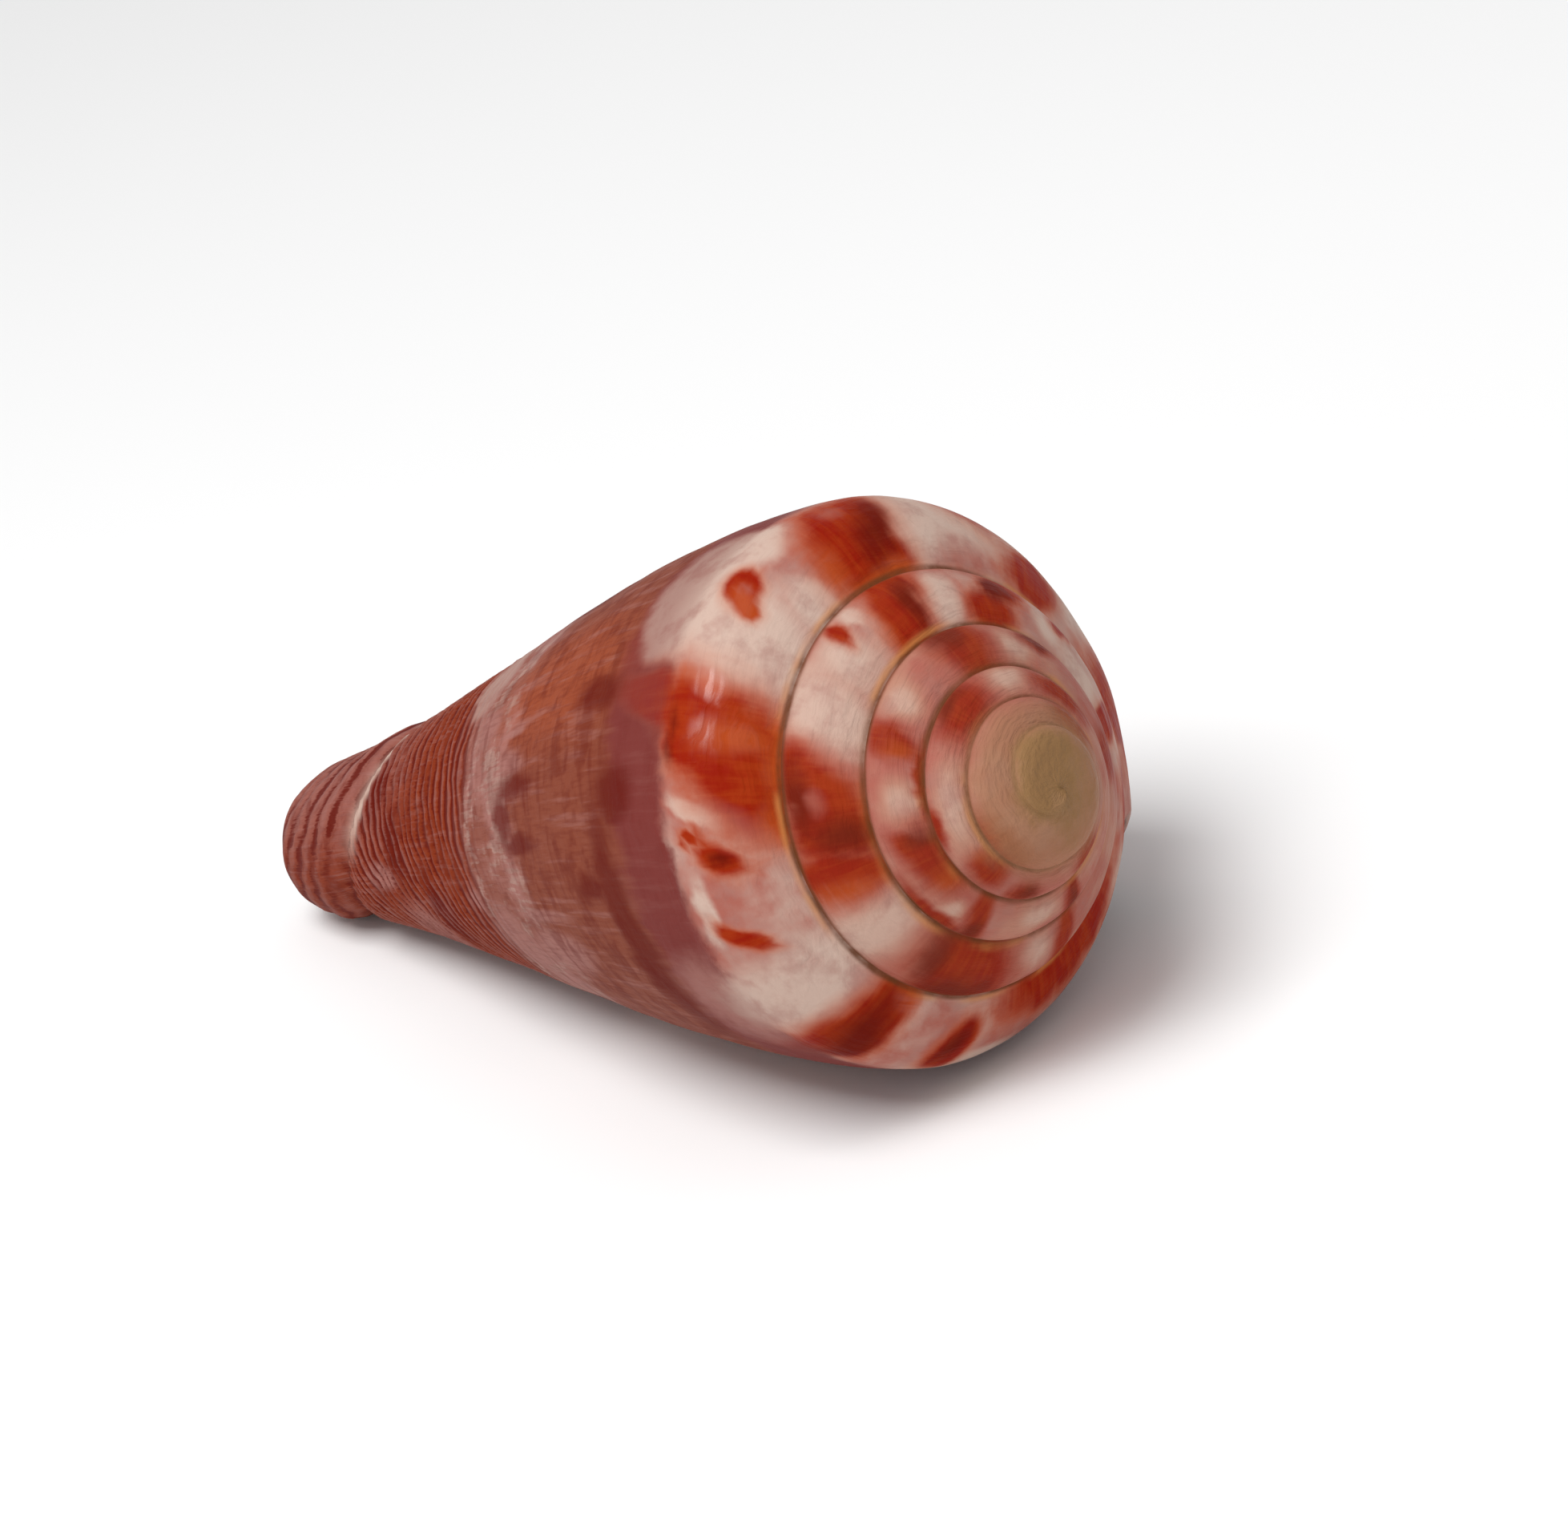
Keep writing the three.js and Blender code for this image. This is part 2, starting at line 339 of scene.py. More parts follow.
# Each patch is an ellipse as (turn, across, half length in turns, half width across, lean in turns for
# each unit across). Across is -1 at a suture, 0 at the shoulder and SIDE_ACROSS at the anterior end.
PATCHES = {
    "red": (
        (-0.77, -0.45, 0.015, 0.34, 0.02), (-0.696, -0.6, 0.02, 1.05, 0.01),
        (-0.88, -0.85, 0.08, 0.34, 0.0), (-0.597, -0.34, 0.007, 0.24, 0.05),
        (-0.553, -0.42, 0.01, 0.2, 0.02), (-0.538, -0.16, 0.005, 0.13, 0.0),
        (-0.5, -0.8, 0.046, 0.62, 0.03), (-0.474, -0.4, 0.031, 0.62, 0.02),
        (-0.457, 0.2, 0.016, 0.55, 0.02), (-0.388, -0.3, 0.013, 0.2, 0.02),
        (-0.398, -0.38, 0.006, 0.12, 0.02), (-0.312, -0.55, 0.033, 0.52, 0.03),
        (-0.306, -0.85, 0.03, 0.3, 0.0), (-0.168, -0.66, 0.024, 0.26, 0.02),
        (-0.06, -0.35, 0.035, 0.55, 0.04), (-0.93, 0.2, 0.045, 0.6, 0.0),
        (-0.815, 0.7, 0.026, 0.45, 0.02), (-0.215, 0.25, 0.03, 0.6, -0.02),
        (-1.858, -0.6, 0.014, 0.8, 0.01), (-1.738, -0.5, 0.056, 1.1, -0.02),
        (-1.584, -0.42, 0.022, 0.85, 0.01), (-1.545, -0.6, 0.03, 0.7, 0.01),
        (-1.51, -0.35, 0.03, 0.8, 0.03), (-1.385, -0.25, 0.007, 0.24, 0.01),
        (-1.33, -0.55, 0.027, 1.0, 0.02), (-1.238, -0.85, 0.026, 0.3, 0.0),
        (-1.215, -0.4, 0.022, 0.26, 0.03), (-1.15, -0.4, 0.012, 0.2, 0.02),
        (-1.075, -0.7, 0.016, 0.3, 0.0), (-1.01, -0.25, 0.03, 0.35, 0.02),
        (-2.862, -0.5, 0.016, 0.6, 0.0), (-2.708, -0.5, 0.016, 0.7, -0.02),
        (-2.61, -0.85, 0.055, 0.5, 0.02), (-2.58, -0.55, 0.02, 0.35, 0.02),
        (-2.66, -0.12, 0.05, 0.16, 0.0), (-2.458, -0.42, 0.02, 0.5, 0.02),
        (-2.5, -0.97, 0.06, 0.14, 0.0), (-2.305, -0.5, 0.036, 0.95, -0.01),
        (-2.195, -0.35, 0.03, 0.22, 0.03), (-2.06, -0.6, 0.03, 0.35, 0.0),
        (-3.665, -0.65, 0.04, 0.5, 0.0), (-3.75, -0.35, 0.034, 0.32, 0.0),
        (-3.565, -0.12, 0.03, 0.16, 0.0), (-3.385, -0.45, 0.056, 0.75, 0.0),
        (-3.18, -0.5, 0.06, 0.36, 0.02), (-3.9, -0.5, 0.04, 0.4, 0.0), (-4.17, -0.5, 0.06, 0.5, 0.0),
        (-4.64, -0.2, 0.08, 0.3, 0.0),
    ),
    "cream": (
        (-0.645, -0.45, 0.03, 0.95, 0.0), (-0.412, -0.45, 0.034, 0.8, 0.01),
        (-0.23, -0.25, 0.045, 0.5, 0.02), (-0.352, -0.12, 0.018, 0.26, 0.02),
        (-0.365, -0.85, 0.016, 0.25, 0.0), (-0.785, -0.1, 0.045, 0.24, 0.0),
        (-0.262, -0.5, 0.02, 0.55, 0.01), (-0.13, -0.3, 0.035, 0.4, 0.0),
        (-0.374, 3.4, 0.044, 0.36, 0.03), (-0.402, 0.3, 0.04, 0.5, 0.03),
        (-0.366, 0.25, 0.03, 0.5, 0.0), (-0.58, -0.1, 0.02, 0.12, 0.0), (-0.96, -0.3, 0.03, 0.35, 0.0),
        (-0.522, -0.22, 0.008, 0.24, 0.04), (-1.815, -0.65, 0.026, 0.3, 0.0),
        (-1.642, -0.45, 0.031, 1.0, 0.01), (-1.448, -0.45, 0.032, 0.95, 0.01),
        (-1.4, -0.5, 0.02, 0.35, 0.0), (-1.365, -0.25, 0.008, 0.2, 0.0),
        (-1.285, -0.6, 0.018, 0.42, 0.01), (-1.172, -0.65, 0.013, 0.18, 0.0),
        (-1.12, -0.8, 0.03, 0.2, 0.0), (-2.8, -0.6, 0.042, 0.32, 0.0),
        (-2.674, -0.42, 0.016, 0.24, 0.0), (-2.528, -0.6, 0.026, 0.32, 0.0),
        (-2.412, -0.42, 0.022, 0.4, 0.0), (-2.238, -0.62, 0.032, 0.32, 0.01),
        (-3.54, -0.6, 0.075, 0.36, 0.0), (-3.285, -0.5, 0.042, 0.38, 0.0),
    ),
    "dark": (
        (-0.492, -0.05, 0.03, 0.08, 0.0), (-0.697, -0.35, 0.016, 0.6, 0.0),
        (-0.768, -0.45, 0.01, 0.24, 0.02), (-0.29, -0.52, 0.018, 0.4, 0.03),
        (-0.553, -0.42, 0.006, 0.14, 0.0), (-1.695, -0.6, 0.018, 0.55, -0.01),
        (-1.74, -0.2, 0.04, 0.3, 0.0), (-1.55, -0.7, 0.02, 0.4, 0.0), (-1.52, -0.18, 0.03, 0.22, 0.02),
        (-1.314, -0.55, 0.013, 0.45, 0.01), (-1.225, -0.45, 0.02, 0.25, 0.0),
        (-2.862, -0.4, 0.01, 0.4, 0.0), (-2.57, -0.8, 0.016, 0.35, 0.0), (-2.318, -0.2, 0.03, 0.3, 0.0),
        (-2.712, -0.25, 0.012, 0.3, 0.0), (-3.76, -0.35, 0.03, 0.3, 0.0),
        (-3.39, -0.15, 0.04, 0.2, 0.0), (-2.2, -0.35, 0.024, 0.2, 0.02),
        (-0.506, 0.72, 0.019, 0.34, 0.0), (-0.49, 2.38, 0.012, 0.4, 0.0),
        (-0.531, 2.36, 0.006, 0.36, 0.0), (-0.512, 2.62, 0.022, 0.14, 0.0),
        (-0.6, 0.98, 0.11, 0.22, 0.0), (-0.56, 1.3, 0.01, 0.24, 0.0), (-0.445, 1.05, 0.014, 0.4, 0.0),
        (-0.52, 4.92, 0.05, 0.24, 0.0), (-0.61, 4.4, 0.06, 0.2, 0.0), (-0.45, 5.3, 0.05, 0.2, 0.0),
        (-0.34, 2.3, 0.012, 0.4, 0.0), (-0.85, 1.7, 0.014, 0.4, 0.0), (-0.15, 1.5, 0.014, 0.45, 0.0),
        (-0.7, 2.8, 0.012, 0.35, 0.0), (-0.06, 2.6, 0.012, 0.35, 0.0), (-0.9, 4.7, 0.06, 0.24, 0.0),
        (-0.2, 4.8, 0.06, 0.22, 0.0),
    ),
    "orange": (
        (-0.447, -0.36, 0.01, 0.22, 0.02), (-0.398, -0.38, 0.012, 0.2, 0.02),
        (-0.545, -0.92, 0.03, 0.2, 0.0), (-0.478, -0.62, 0.014, 0.4, 0.0),
        (-0.4, -0.36, 0.008, 0.16, 0.02), (-0.345, -0.8, 0.014, 0.3, 0.02),
        (-0.3, -0.97, 0.06, 0.12, 0.0), (-0.46, -0.97, 0.08, 0.12, 0.0),
        (-0.372, -0.86, 0.024, 0.12, 0.0), (-0.72, -0.95, 0.02, 0.2, 0.0),
        (-1.6, -0.4, 0.014, 0.6, 0.0), (-1.36, -0.6, 0.012, 0.5, 0.0), (-1.48, -0.97, 0.2, 0.1, 0.0),
        (-1.64, -0.12, 0.05, 0.14, 0.0), (-2.64, -0.75, 0.02, 0.36, 0.0),
        (-2.47, -0.55, 0.012, 0.3, 0.0), (-2.35, -0.4, 0.014, 0.4, 0.0), (-3.62, -0.7, 0.03, 0.36, 0.0),
        (-0.425, 1.8, 0.055, 1.3, 0.0), (-0.44, -0.08, 0.012, 0.2, 0.0), (-0.06, 1.8, 0.07, 1.3, 0.0),
        (-0.78, 1.7, 0.06, 1.2, 0.0),
    ),
    "pale": (
        (-0.532, -0.5, 0.014, 0.34, 0.03), (-0.389, -0.34, 0.004, 0.1, 0.0),
        (-1.52, -0.42, 0.012, 0.14, 0.0), (-0.31, -0.25, 0.01, 0.12, 0.0),
        (-0.435, 3.06, 0.02, 0.24, 0.0), (-0.618, 2.36, 0.022, 0.44, 0.0),
        (-0.473, 2.44, 0.009, 0.26, 0.0), (-0.45, 2.44, 0.005, 0.26, 0.0),
        (-0.584, 2.36, 0.005, 0.5, 0.0), (-0.62, 3.1, 0.04, 0.36, 0.02),
        (-0.374, 3.4, 0.046, 0.34, 0.03), (-0.58, 3.5, 0.014, 0.16, 0.0),
        (-0.645, 0.36, 0.04, 0.46, 0.0), (-0.6, 4.4, 0.014, 0.22, 0.0), (-0.66, 4.95, 0.06, 0.4, 0.0),
        (-0.565, 5.35, 0.022, 0.3, 0.0), (-0.88, 2.9, 0.06, 0.4, 0.0), (-0.18, 2.7, 0.04, 0.4, 0.0),
        (-0.05, 3.2, 0.05, 0.35, 0.0), (-0.97, 1.3, 0.03, 0.6, 0.0), (-0.27, 1.0, 0.02, 0.6, 0.0),
    ),
}


class CoilGraph(Graph):
    """The coil's formula as geometry nodes."""

    def __init__(self, tree, form):
        super().__init__(tree)
        group_input = tree.nodes.new("NodeGroupInput")
        for key, prop in form.bl_rna.properties.items():
            if key in form.__annotations__:
                setattr(self, key, Term(self, group_input.outputs[prop.name]))

    def shoulder(self, turn):
        """Radius and height of the shoulder curve, which is also the next whorl's suture."""
        grown = self.clamp(turn + WHORLS)
        start = grown * (2 - grown)
        drop = self.spire_drop * self.math("POWER", self.whorl_growth, self.drop_power * turn) * start
        radius = self.shoulder_radius * self.math("POWER", self.whorl_growth, turn) * start
        height = (drop ** 3 + self.apex_wear ** 3) ** (1 / 3)
        return radius, height

    def side_profile(self, v):
        taper = self.tip_width + (1 - self.tip_width) * (1 - v ** self.side_bend) ** self.side_hollow
        nose = self.clamp((v - self.nose_start) / (1 - self.nose_start))
        return taper * self.math("SQRT", 1 - nose * nose)

    def side(self, turn, v):
        growth = self.whorl_growth + (self.tip_growth - self.whorl_growth) * v * v
        top = self.shoulder(turn)[1]
        radius = self.shoulder_radius * self.math("POWER", growth, turn) * self.side_profile(v)
        return radius, top + (self.coil_length - top) * v

    def ramp(self, turn, w):
        """A cubic curve from the suture (w = 0) to the shoulder (w = 1)."""
        inner_r, inner_z = self.shoulder(turn - 1)
        outer_r, outer_z = self.shoulder(turn)
        across = self.add("ShaderNodeVectorMath", {"operation": "LENGTH"},
                          [self.point(outer_r - inner_r, outer_z - inner_z)], "Value")
        pull = self.ramp_rounding * across
        u = 1 - w
        near = 3 * u * u * w
        far = 3 * u * w * w
        ends = (u * u * u, w * w * w)
        radius = (ends[0] * inner_r + near * (inner_r + pull * self.math("SINE", self.ramp_lean))
                  + (far + ends[1]) * outer_r)
        height = (ends[0] * inner_z + near * (inner_z + pull * self.math("COSINE", self.ramp_lean))
                  + far * (outer_z - pull) + ends[1] * outer_z)
        return radius, height

    def surface(self, turn, section):
        """section runs 0 to 1 over the ramp and 1 to 2 down the side."""
        on_side = section > 1
        ramp_r, ramp_z = self.ramp(turn, self.clamp(section))
        side_r, side_z = self.side(turn, self.clamp(section - 1))
        return self.pick(on_side, side_r, ramp_r), self.pick(on_side, side_z, ramp_z)

    def fasciole_line(self, turn):
        """Where the groove before the anterior end runs."""
        return FASCIOLE_START - FASCIOLE_CLIMB * turn

    def ridge_phase(self, turn, section):
        """Counts the spiral ridges down the side, and the coarser ribs past the fasciole line."""
        v = self.clamp(section - 1)
        height = self.side(turn, v)[1]
        wander = self.noise(self.point(turn * 26, v * 24, 7.0), 1.0, 2.0)
        ridges = height / (self.math("POWER", self.whorl_growth, turn) * self.ridge_pitch) + 1.5 * wander
        ribs = (v - self.fasciole_line(turn)) / RIB_SPACING + 0.9 * wander
        return self.pick(v > self.fasciole_line(turn), ribs, ridges)

    def relief(self, turn, section, phase):
        """Height of ridges, grooves and cords over the smooth surface."""
        v = self.clamp(section - 1)
        beyond = v - self.fasciole_line(turn)
        beads = self.noise(self.point(turn * 90, v * 26, 3.0), 1.0, 2.0)
        strength = self.smooth(v, 0.40, 0.56) * (1 - self.smooth(v, 0.93, 0.985))
        past = self.smooth(beyond, -0.01, 0.015)
        ridges = self.math("COSINE", TURN * phase) * (0.2 + 1.9 * beads) * strength * (1 - 0.4 * past)
        groove = self.math("EXPONENT", beyond * beyond * -2600)
        swelling = self.smooth(beyond, 0.0, 0.05) * (1 - self.smooth(v, 0.9, 0.99))
        w = self.clamp(section)
        cords = self.math("COSINE", (TURN * 3.5) * w) * w * (1 - w) * (section < 1)
        lines = self.ridge_height * (ridges + 1.2 * cords)
        return lines + SWELLING_HEIGHT * swelling - GROOVE_DEPTH * groove

    def lip_recess(self, row, v):
        """How far the lip edge stands back from turn 0."""
        on_ramp = row < RAMP_ROWS + 0.5
        wave = self.math("SINE", row * (math.pi / RAMP_ROWS))
        sinus = self.sinus_turns * wave * wave
        notch = self.notch_turns * self.smooth(v, self.notch_start, 1)
        return self.pick(on_ramp, sinus, notch)

    def side_row(self, k):
        """Even rows as far as the aperture's roof, then rows that crowd towards the nose."""
        roof_rows = EDGE_COLUMNS
        t = self.clamp((k - roof_rows) / (SIDE_ROWS - roof_rows))
        lower = self.roof_start + (1 - self.roof_start) * (t + ROW_CROWDING * t * (1 - t))
        return self.pick(k < roof_rows, self.roof_start * k / roof_rows, lower)


def new_tree(name, settings):
    """A geometry tree whose inputs are the sizes, each under its own name."""
    tree = bpy.data.node_groups.new(name, "GeometryNodeTree")
    for key, prop in settings.bl_rna.properties.items():
        if key in settings.__annotations__:
            tree.interface.new_socket(prop.name, in_out="INPUT", socket_type="NodeSocketFloat")
    tree.interface.new_socket("Shell", in_out="OUTPUT", socket_type="NodeSocketGeometry")
    return tree


def on_domain(graph, value, domain):
    return graph.add("GeometryNodeFieldOnDomain", {"data_type": "FLOAT", "domain": domain}, [value])


def grid(graph, columns, rows):
    """A grid of points with the column and the row of each, held as point values."""
    inputs = {"Size X": 1.0, "Size Y": 1.0, "Vertices X": columns, "Vertices Y": rows}
    mesh = graph.add("GeometryNodeMeshGrid", None, inputs, "Mesh")
    index = graph.add("GeometryNodeInputIndex")
    column = graph.math("FLOOR", (index + 0.5) / rows)
    row = index - column * rows
    return mesh, on_domain(graph, column, "POINT"), on_domain(graph, row, "POINT")


def store(graph, mesh, name, value, domain="POINT", data_type="FLOAT"):
    settings = {"data_type": data_type, "domain": domain}
    inputs = {"Geometry": mesh, "Name": name, "Value": value}
    return graph.add("GeometryNodeStoreNamedAttribute", settings, inputs)


def recall(graph, name, data_type="FLOAT"):
    return graph.add("GeometryNodeInputNamedAttribute", {"data_type": data_type}, {"Name": name})


def store_skin(graph, mesh, **values):
    """Stores what the later steps need to place each point and to raise its relief."""
    for name, value in values.items():
        mesh = store(graph, mesh, name, value)
    return mesh


def outer_skin(graph):
    """Spire and body whorl as one sheet that winds out from the apex."""
    spire_rows = WHORLS * RAMP_ROWS
    mesh, column, row = grid(graph, COLUMNS + 1, spire_rows + SIDE_ROWS + 1)
    part = column / COLUMNS
    v = graph.side_row(graph.math("MAXIMUM", row - spire_rows, 0))
    whorl = graph.math("MINIMUM", graph.math("FLOOR", (row + 0.5) / RAMP_ROWS), WHORLS - 1)
    in_last = whorl > WHORLS - 1.5
    ramp_row = graph.math("MINIMUM", row - whorl * RAMP_ROWS, RAMP_ROWS)
    recess = graph.lip_recess(row - (WHORLS - 1) * RAMP_ROWS, v) * in_last
    turn = part - WHORLS + whorl - part * recess
    section = ramp_row / RAMP_ROWS + v
    face_row = on_domain(graph, row, "FACE")
    face_whorl = graph.math("MINIMUM", graph.math("FLOOR", face_row / RAMP_ROWS), WHORLS - 1)
    face_turn = part - WHORLS + face_whorl - part * recess
    face_w = graph.math("MINIMUM", row / RAMP_ROWS - face_whorl, 1)
    growth = graph.point(face_turn, face_w - 1 + SIDE_ACROSS * v, 0.0)
    mesh = store(graph, mesh, "growth", growth, "CORNER", "FLOAT_VECTOR")
    return store_skin(graph, mesh, turn=turn, section=section, share=1.0, base=v,
                      skin_turn=turn, skin_section=section, skin_fade=1.0)


def aperture_skin(graph):
    """From the lip edge in along the inside of the lip, and out over the older whorl."""
    mesh, column, row = grid(graph, EDGE_COLUMNS + 2 * CAVITY_COLUMNS + 2, RAMP_ROWS + SIDE_ROWS + 1)
    v = graph.side_row(graph.math("MAXIMUM", row - RAMP_ROWS, 0))
    w = graph.math("MINIMUM", row / RAMP_ROWS, 1)
    first_row = row < 0.5
    edge_part = graph.clamp(column / EDGE_COLUMNS)
    inner_part = graph.clamp((column - EDGE_COLUMNS) / CAVITY_COLUMNS)
    older_part = graph.clamp((column - EDGE_COLUMNS - CAVITY_COLUMNS - 1) / CAVITY_COLUMNS)
    is_older = column > EDGE_COLUMNS + CAVITY_COLUMNS + 0.5
    recess = graph.lip_recess(row, v)
    round_turn = graph.math("SINE", edge_part * math.pi) * LIP_ROUNDING * graph.smooth(row, 0.5, 3)
    older_recess = recess * (row > RAMP_ROWS + 0.5)
    inner_turn = round_turn - recess - graph.cavity_turns * inner_part
    older_turn = (older_recess + graph.cavity_turns) * (older_part - 1)
    open_share = graph.pick(graph.smooth(inner_part, 0, 0.25), graph.cavity_share, graph.edge_share)
    edge_fall = 0.5 - 0.5 * graph.math("COSINE", edge_part * math.pi)
    past_edge = first_row * (column > 0.5)
    fall = graph.math("MAXIMUM", edge_fall, past_edge)
    inner_share = 1 - (1 - open_share * graph.smooth(w, 0, 0.7)) * fall
    roof = graph.math("MAXIMUM", v, graph.roof_start)
    base = graph.pick(first_row, graph.roof_start * edge_part, roof)
    turn = graph.pick(is_older, older_turn, inner_turn * (1 - first_row * (column < EDGE_COLUMNS + 0.5)))
    share = inner_share * (1 - is_older)
    on_base = graph.math("MAXIMUM", is_older, first_row)
    skin_turn = turn - on_base
    skin_section = graph.pick(on_base, 1 + base, w + v)
    exit_fade = graph.smooth(older_part, 0.55, 1) * is_older
    edge_fade = (1 - edge_fall) * (1 - is_older)
    corner_fade = first_row * (column < EDGE_COLUMNS + 0.5)
    fade = graph.math("MAXIMUM", graph.math("MAXIMUM", exit_fade, edge_fade), corner_fade)
    across = skin_section - 1 + (SIDE_ACROSS - 1) * graph.clamp(skin_section - 1)
    growth = graph.point(skin_turn, across, 1 - fade)
    mesh = store(graph, mesh, "growth", growth, "CORNER", "FLOAT_VECTOR")
    return store_skin(graph, mesh, turn=turn, section=w + v, share=share, base=base,
                      skin_turn=skin_turn, skin_section=skin_section, skin_fade=fade)


def patch_group():
    """A node group that takes the nearness so far and gives the nearer of that and one more patch."""
    tree = bpy.data.node_groups.new("NearestPatch", "GeometryNodeTree")
    names = ("Turn", "Across", "Nearest", "Centre", "Height", "Length", "Width", "Lean")
    for name in names:
        tree.interface.new_socket(name, in_out="INPUT", socket_type="NodeSocketFloat")
    tree.interface.new_socket("Nearest", in_out="OUTPUT", socket_type="NodeSocketFloat")
    graph = Graph(tree)
    inputs = tree.nodes.new("NodeGroupInput").outputs
    turn, across, nearest, centre, height, length, width, lean = (
        Term(graph, inputs[name]) for name in names)
    beside = across - height
    along = (turn - centre - beside * lean) / length
    aside = beside / width
    reach = graph.math("SQRT", along * along + aside * aside)
    graph.add("NodeGroupOutput", None, [graph.math("MINIMUM", nearest, reach)])
    return tree


def store_nearness(graph, mesh):
    """Stores at each corner how near it is to the patches of each kind."""
    turn, across, _ = graph.parts(recall(graph, "growth", "FLOAT_VECTOR"))
    wave = graph.point(turn * 40, across * 1.6, 5.0)
    turn = turn + 0.02 * (graph.noise(wave, 1.0) - 0.5)
    across = across + 0.3 * (graph.noise(wave, 1.3) - 0.5)
    group = patch_group()
    for name, patches in PATCHES.items():
        nearest = 9.0
        for patch in patches:
            inputs = [turn, across, nearest, *patch]
            nearest = graph.add("GeometryNodeGroup", {"node_tree": group}, inputs)
        mesh = store(graph, mesh, name, nearest, "CORNER")
    return mesh


def place_points(graph, mesh):
    """Moves every point from its grid to its place on the coil."""
    turn = recall(graph, "turn")
    share = recall(graph, "share")
    outer_r, outer_z = graph.surface(turn, recall(graph, "section"))
    base_r, base_z = graph.side(turn - 1, recall(graph, "base"))
    radius = graph.pick(share, outer_r, base_r)
    height = graph.pick(share, outer_z, base_z)
    angle = graph.lip_angle + TURN * turn
    place = graph.point(radius * graph.math("COSINE", angle), radius * graph.math("SINE", angle), height)
    return graph.add("GeometryNodeSetPosition", None, {"Geometry": mesh, "Position": place})


def raise_relief(graph, mesh):
    """Ridges, cords and the gentle lumps of a worn shell, along the normals."""
    here = graph.add("GeometryNodeInputPosition")
    lumps = graph.noise(here, LUMPS, 2.0) - 0.5
    height = recall(graph, "relief") + LUMP_HEIGHT * lumps
    normal = graph.add("GeometryNodeInputNormal")
    offset = graph.add("ShaderNodeVectorMath", {"operation": "SCALE"}, {"Vector": normal, "Scale": height})
    return graph.add("GeometryNodeSetPosition", None, {"Geometry": mesh, "Offset": offset})


def shell_tree(form, material):
    """Both sheets in place, joined to one closed skin, with its relief and what its material reads."""
    tree = new_tree("ConeShellCoil", form)
    graph = CoilGraph(tree, form)
    join = tree.nodes.new("GeometryNodeJoinGeometry")
    for sheet in (outer_skin(graph), aperture_skin(graph)):
        tree.links.new(sheet.socket, join.inputs[0])
    mesh = place_points(graph, Term(graph, join.outputs[0]))
    place = recall(graph, "skin_turn"), recall(graph, "skin_section")
    mesh = store(graph, mesh, "phase", graph.ridge_phase(*place))
    relief = graph.relief(*place, recall(graph, "phase"))
    mesh = store(graph, mesh, "relief", relief * recall(graph, "skin_fade"))
    mesh = store_nearness(graph, mesh)
    mesh = graph.add("GeometryNodeMergeByDistance", None, {"Geometry": mesh, "Distance": MERGE_DISTANCE})
    mesh = raise_relief(graph, mesh)
    for name in ("turn", "section", "share", "base", "skin_turn", "skin_section", "skin_fade", "relief"):
        mesh = graph.add("GeometryNodeRemoveAttribute", None, {"Geometry": mesh, "Name": name})
    mesh = graph.add("GeometryNodeSetShadeSmooth", None, {"Geometry": mesh, "Shade Smooth": True})
    mesh = graph.add("GeometryNodeRealizeInstances", None, {"Geometry": mesh})
    mesh = graph.add("GeometryNodeSetMaterial", None, {"Geometry": mesh, "Material": material})
    graph.add("NodeGroupOutput", None, [mesh])
    return tree


def shell_to_part():
    """The matrix from the shell frame to the CAD frame."""
    side_down = Matrix.Rotation(math.pi - DOWN_ANGLE, 4, "Z")
    laid_down = Matrix.Rotation(-math.pi / 2 - APEX_LIFT, 4, "Y")
    return Matrix.Translation(APEX_PLACE) @ laid_down @ side_down


def grow_mesh(tree, form):
    """Evaluates the tree once and keeps its result as a plain mesh."""
    carrier = bpy.data.objects.new("coil_carrier", bpy.data.meshes.new("coil_carrier"))
    bpy.context.scene.collection.objects.link(carrier)
    modifier = carrier.modifiers.new("Coil", "NODES")
    modifier.node_group = tree
    sockets = {item.name: item.identifier for item in tree.interface.items_tree if item.in_out == "INPUT"}
    for key, prop in form.bl_rna.properties.items():
        if key in form.__annotations__:
            modifier[sockets[prop.name]] = getattr(form, key)
    graph_now = bpy.context.evaluated_depsgraph_get()
    mesh = bpy.data.meshes.new_from_object(carrier.evaluated_get(graph_now))
    carrier.modifiers.remove(modifier)
    bpy.data.objects.remove(carrier)
    return mesh


